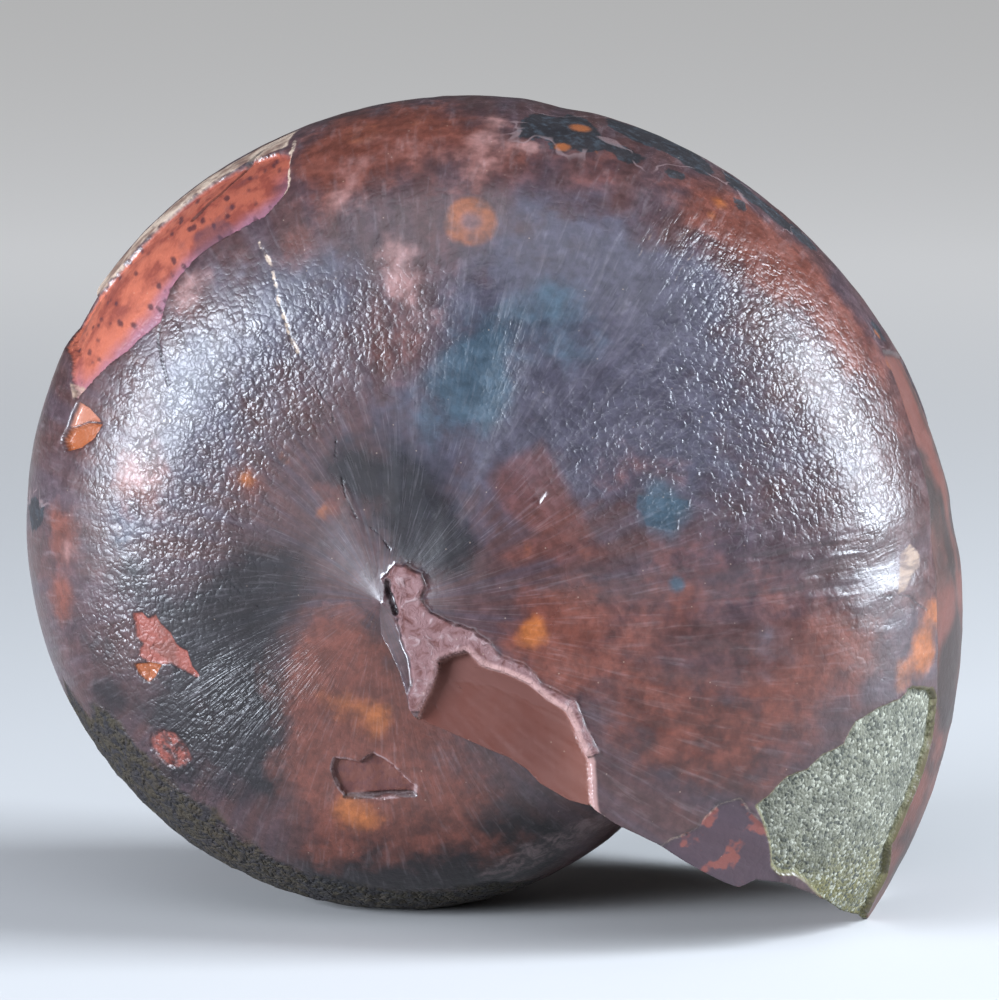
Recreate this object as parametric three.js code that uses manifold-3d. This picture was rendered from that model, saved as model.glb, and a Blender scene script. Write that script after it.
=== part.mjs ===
import * as THREE from 'three'
import Module from 'manifold-3d'

// A fossil arcestes ammonite: a coiled shell filled with stone, standing on edge.
// Millimetres, +Z up. The coil axis runs along Y and the side with the broken edge faces -Y.
//
// A place on the shell is [turn, girth]. turn is in degrees back from the tip of the aperture,
// so it grows towards the older shell. girth runs from the hub on the -Y side (0), over the
// outer edge (1), to the hub on the +Y side (2).

// Shell form
const apertureRadius = 37.7 // coil axis to the outer edge at the tip
const apertureHalfWidth = 18.5
const turnGrowth = 0.57 // natural log of how much the radius grows in one turn
const widthGrowth = 0.83 // the width grows a little slower than the radius
const tipAngle = -38 // direction of the tip, degrees from +X towards +Z
const coilCentre = [-4.42, 0, 22.96] // the ground at z = 0 trims the shell to a worn flat

// Cross-section of a whorl
const shoulderGirth = 0.32 // girth of the widest place
const shoulderRadius = 0.4 // its share of the outer radius
const flankFullness = 0.03
const hubHalfWidth = 16 // half the thickness left between the two hubs
const hubShift = { near: [-0.9, -0.45], far: [0.6, 0.3] } // the hubs are a little off the axis
const hubSlope = { old: 2, young: 3.6, span: 200 } // power of the funnel's wall

// Edge of the aperture as [girth, turn]
const edgeLine = [
  [0, -54], [0.04, -50], [0.08, -40], [0.14, -38], [0.17, -29], [0.21, -21], [0.25, -15.5],
  [0.29, -11], [0.34, -9], [0.385, -6], [0.445, -5], [0.53, -3], [0.6, -0.5], [0.675, 1.5],
  [0.75, 1.5], [0.88, 0.6], [0.95, -0.2], [1.05, -0.2], [1.12, 0.8], [1.25, 0.4], [1.38, -3.5],
  [1.5, -3], [1.62, -7.5], [1.7, -14], [1.79, -24], [1.87, -36], [1.95, -48], [2, -54],
]

// Places where a layer of this depth is lost, outlined as [turn, girth]
const lostLayers = [
  { depth: 0.65, outlines: [
    // behind the broken edge, down to a brown floor
    [[1, 0.324], [4.5, 0.302], [6.5, 0.284], [6.5, 0.256], [7.5, 0.216], [6.5, 0.186],
      [2.2, 0.15], [3, 0.126], [-5, 0.112], [-16.8, 0.102], [-21.2, 0.114], [-29.8, 0.128],
      [-36.8, 0.148], [-44, 0.16], [-40, 0.22], [-24, 0.31], [-14, 0.38], [-7.5, 0.4],
      [-6, 0.372]],
    // bare stone behind the tip
    [[8.5, 0.552], [11, 0.566], [13.8, 0.58], [15.5, 0.604], [17.8, 0.618], [19.5, 0.646],
      [22.5, 0.658], [24.5, 0.69], [25.8, 0.732], [27, 0.756], [27, 0.81], [21.2, 0.842],
      [13.8, 0.826], [9.2, 0.826], [6, 0.87], [-3, 0.9], [-3, 0.8], [1.5, 0.752], [2.8, 0.68],
      [2.2, 0.63], [5.2, 0.596]],
    // scar on the oldest flank in view
    [[287, 0.416], [286.8, 0.394], [294.5, 0.394], [298.2, 0.372], [303.5, 0.388],
      [311, 0.436], [310.8, 0.456], [293.2, 0.46]],
    // stone shows behind the edge on the +Y side
    [[-8, 1.36], [4, 1.33], [11, 1.36], [19, 1.34], [24, 1.41], [15, 1.47], [17, 1.54],
      [6, 1.6], [-4, 1.58], [-14, 1.62], [-12, 1.46]],
  ] },
  { depth: 0.4, outlines: [
    // dotted floor beside the upper outer edge
    [[144.4, 0.807], [145, 0.716], [149, 0.674], [156, 0.678], [162, 0.682], [167, 0.664],
      [171.2, 0.632], [181, 0.664], [190.2, 0.71], [186.5, 0.8], [187, 0.93], [185, 1.02],
      [179.5, 1.02], [178.2, 0.84], [170.3, 0.812], [160, 0.837], [150.3, 0.842]],
  ] },
  { depth: 0.25, outlines: [
    // small flake scars
    [[224.5, 0.508], [224.5, 0.47], [233.2, 0.44], [239.2, 0.442], [233.8, 0.528]],
    [[191, 0.712], [196, 0.69], [203, 0.7], [200, 0.76], [193, 0.77]],
    [[196, 1.26], [205, 1.22], [216, 1.21], [222, 1.26], [231, 1.29], [224, 1.37], [212, 1.35],
      [201, 1.39]],
    [[262, 1.5], [272, 1.46], [281, 1.49], [276, 1.56], [266, 1.58]],
  ] },
]

// Rough crust along the broken edge, from the hub outwards, as [turn, girth]
const crust = { height: 0.35, outline: [
  [73, 0.038], [44.2, 0.036], [11.2, 0.032], [4.5, 0.052], [13.2, 0.092], [16, 0.122],
  [13.5, 0.15], [10.8, 0.172], [12.2, 0.2], [8.5, 0.236], [9.2, 0.286], [6, 0.318],
  [2, 0.338], [0, 0.3], [0, 0.25], [-3, 0.18], [-16, 0.14], [-30, 0.18], [-46, 0.2],
  [-52, 0.04],
] }

// Faint swellings and grooves left by former edges of the aperture
const grooveTurns = [{ turn: 43, depth: 0.22 }, { turn: 112, depth: 0.16 }]
const grooveHalfWidth = 2.6
const grooveSweep = 16 // degrees the lines lean back towards the hub

// How finely the form is faceted
const aroundCount = 100 // steps along the coil
const endCount = 8 // steps across the stone that fills the aperture
const girthCount = 34 // steps from hub to hub
const facetTolerance = 0.03

// Stone in the aperture: it is hollowed least where the aperture is narrower than fullHollow
const stoneHollow = 1.4
const stoneBump = 1.1
const fullHollow = 6

const radians = Math.PI / 180
const clamp = (value, low, high) => Math.min(high, Math.max(low, value))
const smooth = (value) => {
  const t = clamp(value, 0, 1)
  return t * t * (3 - 2 * t)
}
const scatter = (a, b) => {
  const wave = Math.sin(a * 12.99 + b * 78.23) * 43758.5
  return wave - Math.floor(wave)
}
const sizeAt = (turn) => Math.exp((-turnGrowth * turn) / 360)

function edgeTurn(girth) {
  const next = edgeLine.findIndex(([at]) => at >= girth)
  if (next < 1) return edgeLine[0][1]
  const [a, turnA] = edgeLine[next - 1]
  const [b, turnB] = edgeLine[next]
  return turnA + ((turnB - turnA) * (girth - a)) / (b - a)
}

// Radius from the coil axis and distance from the coil's middle plane
function section(turn, fromHub) {
  const size = sizeAt(turn)
  const width = apertureHalfWidth * size ** widthGrowth
  const outer = apertureRadius * size
  if (fromHub < shoulderGirth) {
    const share = fromHub / shoulderGirth
    const young = clamp(1 - turn / hubSlope.span, 0, 1)
    const slope = hubSlope.old + (hubSlope.young - hubSlope.old) * young
    return [outer * shoulderRadius * share, width - (width - hubHalfWidth) * (1 - share) ** slope]
  }
  const bend = ((1 - fromHub) / (1 - shoulderGirth)) * 90 * radians
  const full = 1 + flankFullness * Math.sin(2 * bend) ** 2
  const reach = shoulderRadius + (1 - shoulderRadius) * Math.cos(bend) * full
  return [outer * reach, width * Math.sin(bend) * full]
}

function bareShell(turn, girth) {
  const near = girth < 1
  const fromHub = near ? girth : 2 - girth
  const [radius, across] = section(turn, fromHub)
  const angle = (tipAngle + turn) * radians
  const [shiftX, shiftZ] = near ? hubShift.near : hubShift.far
  const pull = clamp(1 - fromHub / shoulderGirth, 0, 1) ** 2
  return new THREE.Vector3(
    coilCentre[0] + radius * Math.cos(angle) + shiftX * pull,
    coilCentre[1] + (near ? -across : across),
    coilCentre[2] + radius * Math.sin(angle) + shiftZ * pull,
  )
}

function outwards(turn, girth) {
  const step = 0.01
  const backwards = bareShell(turn + 1, girth).sub(bareShell(turn - 1, girth))
  const overGirth = bareShell(turn, girth + step).sub(bareShell(turn, girth - step))
  return overGirth.cross(backwards).normalize()
}

function grooveDepth(turn, girth) {
  const lean = grooveSweep * Math.abs(girth - 1) ** 2
  const fade = smooth(Math.min(girth, 2 - girth) / 0.4)
  const perDegree = section(turn, Math.min(girth, 2 - girth))[0] * radians
  let depth = 0
  for (const groove of grooveTurns) {
    const distance = Math.abs(turn + lean - groove.turn) * perDegree
    depth += groove.depth * fade * (1 - smooth(distance / grooveHalfWidth))
  }
  return depth
}

function shellPoint(turn, girth, lift) {
  return bareShell(turn, girth)
    .addScaledVector(outwards(turn, girth), lift - grooveDepth(turn, girth))
}

// Turn after a share of the coil's length
const turnAfter = (share) => (-360 / turnGrowth) * Math.log(1 - share * (1 - Math.exp(-turnGrowth)))

// One ring of points at a girth: along the coil from the edge to the whorl below it,
// then out again across the stone that fills the aperture
function ring(row, lift, setBack) {
  const girth = (row * 2) / girthCount
  const edge = edgeTurn(girth) + setBack
  const points = []
  for (let i = 0; i <= aroundCount; i++) {
    points.push(shellPoint(edge + turnAfter(i / aroundCount), girth, lift))
  }
  const inner = points[aroundCount]
  const outer = points[0]
  const widest = clamp(outer.distanceTo(inner) / fullHollow, 0, 1)
  const inwards = bareShell(edge + 3, girth).sub(bareShell(edge, girth)).normalize()
  for (let i = 1; i < endCount; i++) {
    const share = i / endCount
    const hollow = stoneHollow + stoneBump * (scatter(row, i) - 0.5)
    const depth = hollow * Math.sin(share * Math.PI) * widest
    points.push(inner.clone().lerp(outer, share).addScaledVector(inwards, depth))
  }
  return points
}

const { Manifold, Mesh } = await Module().then((wasm) => (wasm.setup(), wasm))

const solidOf = (points, faces) => new Manifold(new Mesh({
  numProp: 3,
  vertProperties: new Float32Array(points.flatMap((point) => point.toArray())),
  triVerts: new Uint32Array(faces),
}))

// The whole shell, with its skin moved out by lift and its end moved back by setBack degrees
function wholeShell(lift, setBack) {
  const points = [bareShell(0, 0).add(new THREE.Vector3(0, -lift, 0))]
  for (let row = 1; row < girthCount; row++) points.push(...ring(row, lift, setBack))
  points.push(bareShell(0, 2).add(new THREE.Vector3(0, lift, 0)))

  const ringLength = aroundCount + endCount
  const corner = (row, column) => 1 + (row - 1) * ringLength + (column % ringLength)
  const lastPoint = points.length - 1
  const faces = []
  for (let i = 0; i < ringLength; i++) {
    faces.push(0, corner(1, i), corner(1, i + 1))
    faces.push(lastPoint, corner(girthCount - 1, i + 1), corner(girthCount - 1, i))
    for (let row = 1; row < girthCount - 1; row++) {
      const [a, b] = [corner(row, i), corner(row, i + 1)]
      const [c, d] = [corner(row + 1, i), corner(row + 1, i + 1)]
      faces.push(a, c, d, a, d, b)
    }
  }
  return solidOf(points, faces)
}

// A block that stands on an outline, from below the skin to above it
function blockOver(outline, below, above) {
  const normal = new THREE.Vector3()
  for (const place of outline) normal.add(outwards(...place))
  normal.normalize()
  const sideways = new THREE.Vector3(normal.z, 0, -normal.x).normalize()
  const upwards = normal.clone().cross(sideways)
  let corners = outline.map((place) => bareShell(...place))
  const flat = (point) => new THREE.Vector2(point.dot(sideways), point.dot(upwards))
  if (THREE.ShapeUtils.area(corners.map(flat)) < 0) corners.reverse()

  const count = corners.length
  const top = corners.map((point) => point.clone().addScaledVector(normal, above))
  const bottom = corners.map((point) => point.clone().addScaledVector(normal, -below))
  const faces = []
  for (const [a, b, c] of THREE.ShapeUtils.triangulateShape(corners.map(flat), [])) {
    faces.push(a, b, c, count + a, count + c, count + b)
  }
  for (let i = 0; i < count; i++) {
    const next = (i + 1) % count
    faces.push(i, count + i, next, next, count + i, count + next)
  }
  return solidOf([...top, ...bottom], faces)
}

// Blocks cut the layers out: how far they reach past a layer's floor, and how far above the skin
const edgeSetBack = 0.5
const crustBlock = { below: 1.2, above: 4 }
const layerBlock = { below: 0.9, above: 6 }
const skin = wholeShell(0, 0)
const crustSkin = wholeShell(crust.height, edgeSetBack)
const covered = skin.add(crustSkin)
let shell = skin.add(crustSkin.intersect(blockOver(crust.outline, crustBlock.below, crustBlock.above)))
for (const { depth, outlines } of lostLayers) {
  const layer = covered.subtract(wholeShell(-depth, -edgeSetBack))
  const below = depth + layerBlock.below
  const blocks = outlines.map((outline) => blockOver(outline, below, layerBlock.above))
  shell = shell.subtract(layer.intersect(Manifold.union(blocks)))
}
const wornShell = shell.trimByPlane([0, 0, 1], 0).simplify(facetTolerance)
const mesh = wornShell.decompose().reduce((a, b) => (a.volume() > b.volume() ? a : b)).getMesh()

const geometry = new THREE.BufferGeometry()
geometry.setAttribute('position', new THREE.BufferAttribute(mesh.vertProperties, 3))
geometry.setIndex(new THREE.BufferAttribute(mesh.triVerts, 1))
geometry.computeVertexNormals()

const stone = new THREE.MeshStandardMaterial({ color: '#5b4647', roughness: 0.42, metalness: 0 })
const ammonite = new THREE.Mesh(geometry, stone)
ammonite.name = 'ammonite'

const group = new THREE.Group()
group.name = 'arcestes_ammonite'
group.add(ammonite)

export default group
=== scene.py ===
import math

import bmesh
import bpy
import numpy as np
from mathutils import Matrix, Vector, kdtree


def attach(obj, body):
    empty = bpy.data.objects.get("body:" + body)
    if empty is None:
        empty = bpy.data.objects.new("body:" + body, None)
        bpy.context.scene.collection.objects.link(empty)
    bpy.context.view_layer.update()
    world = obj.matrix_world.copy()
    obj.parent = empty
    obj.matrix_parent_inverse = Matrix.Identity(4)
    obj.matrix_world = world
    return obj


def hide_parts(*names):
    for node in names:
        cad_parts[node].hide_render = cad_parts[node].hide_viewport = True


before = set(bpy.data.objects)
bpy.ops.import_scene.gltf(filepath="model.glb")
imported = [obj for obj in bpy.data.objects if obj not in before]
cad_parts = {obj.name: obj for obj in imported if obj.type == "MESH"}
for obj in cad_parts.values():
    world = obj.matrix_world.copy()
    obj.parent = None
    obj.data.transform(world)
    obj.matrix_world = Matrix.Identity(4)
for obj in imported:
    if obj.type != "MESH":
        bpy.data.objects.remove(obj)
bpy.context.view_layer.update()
mm = 0.001

# The shell's form in millimetres, the same as the solid it stands for.
# A place on it is (turn, girth): turn in degrees back from the tip of the mouth,
# girth from the near hub (0) over the outer edge (1) to the far hub (2).
shell = {
    "radius": 37.7, "halfWidth": 18.5,
    "turnGrowth": 0.57, "widthGrowth": 0.83,
    "tipAngle": -38.0, "coilCentre": (-4.42, 0.0, 22.96),
    "shoulderGirth": 0.32, "shoulderRadius": 0.4, "fullness": 0.03,
    "hubHalfWidth": 16.0, "hubShiftNear": (-0.9, -0.45), "hubShiftFar": (0.6, 0.3),
    "slopeOld": 2.0, "slopeYoung": 3.6, "slopeSpan": 200.0,
}

# The broken edge of the mouth as (girth, turn)
edgeLine = [
    (0.0, -57), (0.038, -49.5), (0.06, -40.8), (0.088, -37), (0.12, -37.2), (0.136, -38.2),
    (0.148, -36.8), (0.162, -32.2), (0.178, -27.2), (0.2, -22.5), (0.222, -18.8), (0.258, -14),
    (0.286, -12.2), (0.312, -12), (0.33, -10.8), (0.352, -9.5), (0.378, -7), (0.41, -6.2),
    (0.444, -4.8), (0.468, -4), (0.51, -3.5), (0.57, -2.5), (0.59, -2), (0.604, 0), (0.626, 0.8),
    (0.646, 1.5), (0.704, 1.8), (0.752, 1.5), (0.796, 1), (0.876, 0.8), (0.95, -0.2), (1.05, -0.2),
    (1.12, 0.8), (1.25, 0.4), (1.31, -2.2), (1.38, -3.5), (1.44, -2.4), (1.5, -3), (1.56, -6.2),
    (1.62, -7.5), (1.7, -14), (1.79, -24), (1.87, -36), (1.95, -48), (2.0, -57),
]

# The photograph's view: where the coil's centre falls in its 999 x 1000 frame
photo = {"azimuth": 7.0, "elevation": 7.0, "distance": 350.0, "pixelsPerMm": 15.043,
         "coilAt": (428.2, 561.9), "frame": (999, 1000), "sensor": 36.0}


def smooth(value):
    t = np.clip(value, 0, 1)
    return t * t * (3 - 2 * t)


def edgeTurn(girth):
    line = np.array(edgeLine)
    return np.interp(girth, line[:, 0], line[:, 1])


def skinPoint(turn, girth):
    turn, girth = np.broadcast_arrays(np.asarray(turn, float), np.asarray(girth, float))
    near = girth < 1
    fromHub = np.where(near, girth, 2 - girth)
    size = np.exp(-shell["turnGrowth"] * turn / 360)
    width = shell["halfWidth"] * size ** shell["widthGrowth"]
    outer = shell["radius"] * size
    share = np.clip(fromHub / shell["shoulderGirth"], 0, 1)
    young = np.clip(1 - turn / shell["slopeSpan"], 0, 1)
    slope = shell["slopeOld"] + (shell["slopeYoung"] - shell["slopeOld"]) * young
    bend = np.clip((1 - fromHub) / (1 - shell["shoulderGirth"]), 0, 1) * math.pi / 2
    full = 1 + shell["fullness"] * np.sin(2 * bend) ** 2
    inside = fromHub < shell["shoulderGirth"]
    reach = shell["shoulderRadius"] + (1 - shell["shoulderRadius"]) * np.cos(bend) * full
    radius = np.where(inside, outer * shell["shoulderRadius"] * share, outer * reach)
    wall = width - (width - shell["hubHalfWidth"]) * (1 - share) ** slope
    across = np.where(inside, wall, width * np.sin(bend) * full)
    angle = np.radians(shell["tipAngle"] + turn)
    pull = np.clip(1 - fromHub / shell["shoulderGirth"], 0, 1) ** 2
    shiftX = np.where(near, shell["hubShiftNear"][0], shell["hubShiftFar"][0]) * pull
    shiftZ = np.where(near, shell["hubShiftNear"][1], shell["hubShiftFar"][1]) * pull
    cx, cy, cz = shell["coilCentre"]
    return np.stack([cx + radius * np.cos(angle) + shiftX,
                     cy + np.where(near, -across, across),
                     cz + radius * np.sin(angle) + shiftZ], -1)


def unit(vectors):
    return vectors / np.maximum(np.linalg.norm(vectors, axis=-1, keepdims=True), 1e-9)


def skinNormal(turn, girth):
    turn, girth = np.broadcast_arrays(np.asarray(turn, float), np.asarray(girth, float))
    g = np.clip(girth, 0.012, 1.988)
    back = skinPoint(turn + 0.5, g) - skinPoint(turn - 0.5, g)
    over = skinPoint(turn, g + 0.006) - skinPoint(turn, g - 0.006)
    normal = unit(np.cross(over, back))
    hub = smooth(np.minimum(girth, 2 - girth) / 0.03)[..., None]  # at a hub it points along the axis
    axis = np.zeros_like(normal)
    axis[..., 1] = np.where(girth < 1, -1.0, 1.0)
    return unit(normal * hub + axis * (1 - hub))


def viewAxes():
    a, e = math.radians(photo["azimuth"]), math.radians(photo["elevation"])
    back = np.array([math.sin(a) * math.cos(e), -math.cos(a) * math.cos(e), math.sin(e)])
    right = np.array([math.cos(a), math.sin(a), 0.0])
    up = np.array([-math.sin(a) * math.sin(e), math.cos(a) * math.sin(e), math.cos(e)])
    return back, right, up


def photoPixel(points):
    back, right, up = viewAxes()
    middleX, middleY = photo["frame"][0] / 2, photo["frame"][1] / 2
    offX = (photo["coilAt"][0] - middleX) / photo["pixelsPerMm"]
    offY = (middleY - photo["coilAt"][1]) / photo["pixelsPerMm"]
    local = points - np.array(shell["coilCentre"])
    scale = photo["pixelsPerMm"] * photo["distance"] / (photo["distance"] - local @ back)
    return np.stack([middleX + (local @ right + offX) * scale,
                     middleY - (local @ up + offY) * scale], -1)


def noise(points, size, seed=0):
    # smooth value noise from -1 to 1, with lumps about size across
    p = np.asarray(points, float) / size + seed * 17.31
    cell = np.floor(p).astype(np.int64)
    f = p - cell
    f = f * f * (3 - 2 * f)
    total = np.zeros(p.shape[:-1])
    for corner in range(8):
        step = np.array([corner & 1, corner >> 1 & 1, corner >> 2 & 1])
        c = cell + step
        h = c[..., 0] * 374761393 + c[..., 1] * 668265263 + c[..., 2] * 2147483647 + seed * 974634777
        h = (h ^ (h >> 13)) * 1274126177
        h = ((h ^ (h >> 16)) & 0xFFFF) / 32767.5 - 1
        weight = np.prod(np.where(step == 1, f, 1 - f), axis=-1)
        total += h * weight
    return total


# A coarse table of the near side, to find the place under a pixel of the photograph
tableBack, tableGirth = np.meshgrid(np.linspace(0, 360, 541), np.linspace(0.004, 1.12, 224),
                                    indexing="ij")
tableTurn = edgeTurn(tableGirth) + tableBack
tablePoint = skinPoint(tableTurn, tableGirth)
tablePixel = photoPixel(tablePoint)
tableFacing = skinNormal(tableTurn, tableGirth) @ viewAxes()[0] > 0.02


def placeUnder(pixels, whorl=None):
    # (turn, girth) of each pixel; whorl "last" or "old" where both lie near it
    allowed = tableFacing.copy()
    if whorl == "last":
        allowed &= tableBack < 180
    if whorl == "old":
        allowed &= tableBack > 180
    found = []
    for px, py in pixels:
        away = np.where(allowed, np.hypot(tablePixel[..., 0] - px, tablePixel[..., 1] - py), 1e9)
        i = np.unravel_index(away.argmin(), away.shape)
        place = np.array([tableTurn[i], tableGirth[i]])
        for _ in range(3):  # closes in on the exact place
            here = photoPixel(skinPoint(*place))
            dTurn = (photoPixel(skinPoint(place[0] + 0.2, place[1])) - here) / 0.2
            dGirth = (photoPixel(skinPoint(place[0], place[1] + 0.002)) - here) / 0.002
            jacobian = np.stack([dTurn, dGirth], 1)
            if abs(np.linalg.det(jacobian)) < 40:
                break
            step = np.linalg.solve(jacobian, np.array([px, py]) - here)
            step = np.clip(step, [-2, -0.02], [2, 0.02])
            place = place + step
            place[1] = np.clip(place[1], 0.002, 1.15)
        found.append(place)
    return np.array(found)


def dense(points, gap, closed):
    points = [np.array(p, float) for p in points]
    if closed:
        points.append(points[0])
    out = []
    for a, b in zip(points, points[1:]):
        count = max(1, int(np.linalg.norm((b - a) / gap)))
        out += [a + (b - a) * i / count for i in range(count)]
    if not closed:
        out.append(points[-1])
    return np.array(out)


def lineDistance(points, line, closed, reach):
    # distance in mm from points to a line on the skin, no more than reach
    ends = np.roll(line, -1, axis=0) if closed else line[1:]
    starts = line if closed else line[:-1]
    away = np.full(len(points), float(reach))
    low, high = line.min(0) - reach, line.max(0) + reach
    close = np.where(((points > low) & (points < high)).all(1))[0]
    side = ends - starts
    length = np.maximum((side ** 2).sum(1), 1e-9)
    for part in np.array_split(close, max(1, len(close) // 4000)):
        if not len(part):
            continue
        rel = points[part][:, None] - starts[None]
        t = np.clip((rel * side).sum(2) / length, 0, 1)
        gap = np.linalg.norm(rel - t[..., None] * side, axis=2).min(1)
        away[part] = np.minimum(away[part], gap)
    return away


def insideOutline(xy, outline):
    inside = np.zeros(len(xy), bool)
    x, y = xy[:, 0], xy[:, 1]
    for (ax, ay), (bx, by) in zip(outline, np.roll(outline, -1, axis=0)):
        crosses = (ay > y) != (by > y)
        at = ax + (bx - ax) * (y - ay) / (by - ay if by != ay else 1e-9)
        inside ^= crosses & (x < at)
    return inside


class Outline:
    # a closed outline on the shell, from pixels of the photograph or from (turn, girth)
    def __init__(self, pixels=None, places=None, whorl=None, jitter=0.12, reach=4.0, seed=1):
        self.pixels = None if pixels is None else np.array(pixels, float)
        self.whorl, self.jitter, self.reach, self.seed = whorl, jitter, reach, seed
        if pixels is not None:
            self.places = placeUnder(dense(pixels, 6, True), whorl)
        else:
            self.places = dense(places, np.array([1.5, 0.02]), True)
        self.line = skinPoint(self.places[:, 0], self.places[:, 1])

    def into(self, at):
        # millimetres inside the outline, negative outside
        away = lineDistance(at["point"], self.line, True, self.reach)
        if self.pixels is not None:
            inside = insideOutline(at["pixel"], self.pixels) & at["seen"]
            if self.whorl == "last":
                inside &= at["back"] < 180
            if self.whorl == "old":
                inside &= at["back"] > 180
        else:
            inside = insideOutline(np.stack([at["turn"], at["girth"]], 1), self.places)
        rough = noise(at["point"], 1.3, self.seed) + 0.5 * noise(at["point"], 0.45, self.seed + 5)
        return np.where(inside, away, -away) + self.jitter * rough


class Stroke:
    # an open line on the shell, such as a crack or scratch
    def __init__(self, pixels=None, places=None, whorl=None, reach=2.5, wander=0.1, seed=1,
                 taper=0.0):
        if pixels is not None:
            places = placeUnder(dense(pixels, 6, False), whorl)
        else:
            places = dense(places, np.array([1.5, 0.02]), False)
        self.line = skinPoint(places[:, 0], places[:, 1])
        self.reach, self.wander, self.seed, self.taper = reach, wander, seed, taper

    def away(self, at):
        push = np.stack([noise(at["point"], 1.1, self.seed + i) for i in range(3)], 1)
        away = lineDistance(at["point"] + self.wander * push, self.line, False, self.reach)
        if self.taper:  # the line thins out over this many mm at each end
            toEnds = [np.linalg.norm(at["point"] - end, axis=1) for end in self.line[[0, -1]]]
            away = away + 0.5 * (1 - smooth(np.minimum(*toEnds) / self.taper))
        return away


print("stage: outlines")

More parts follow.
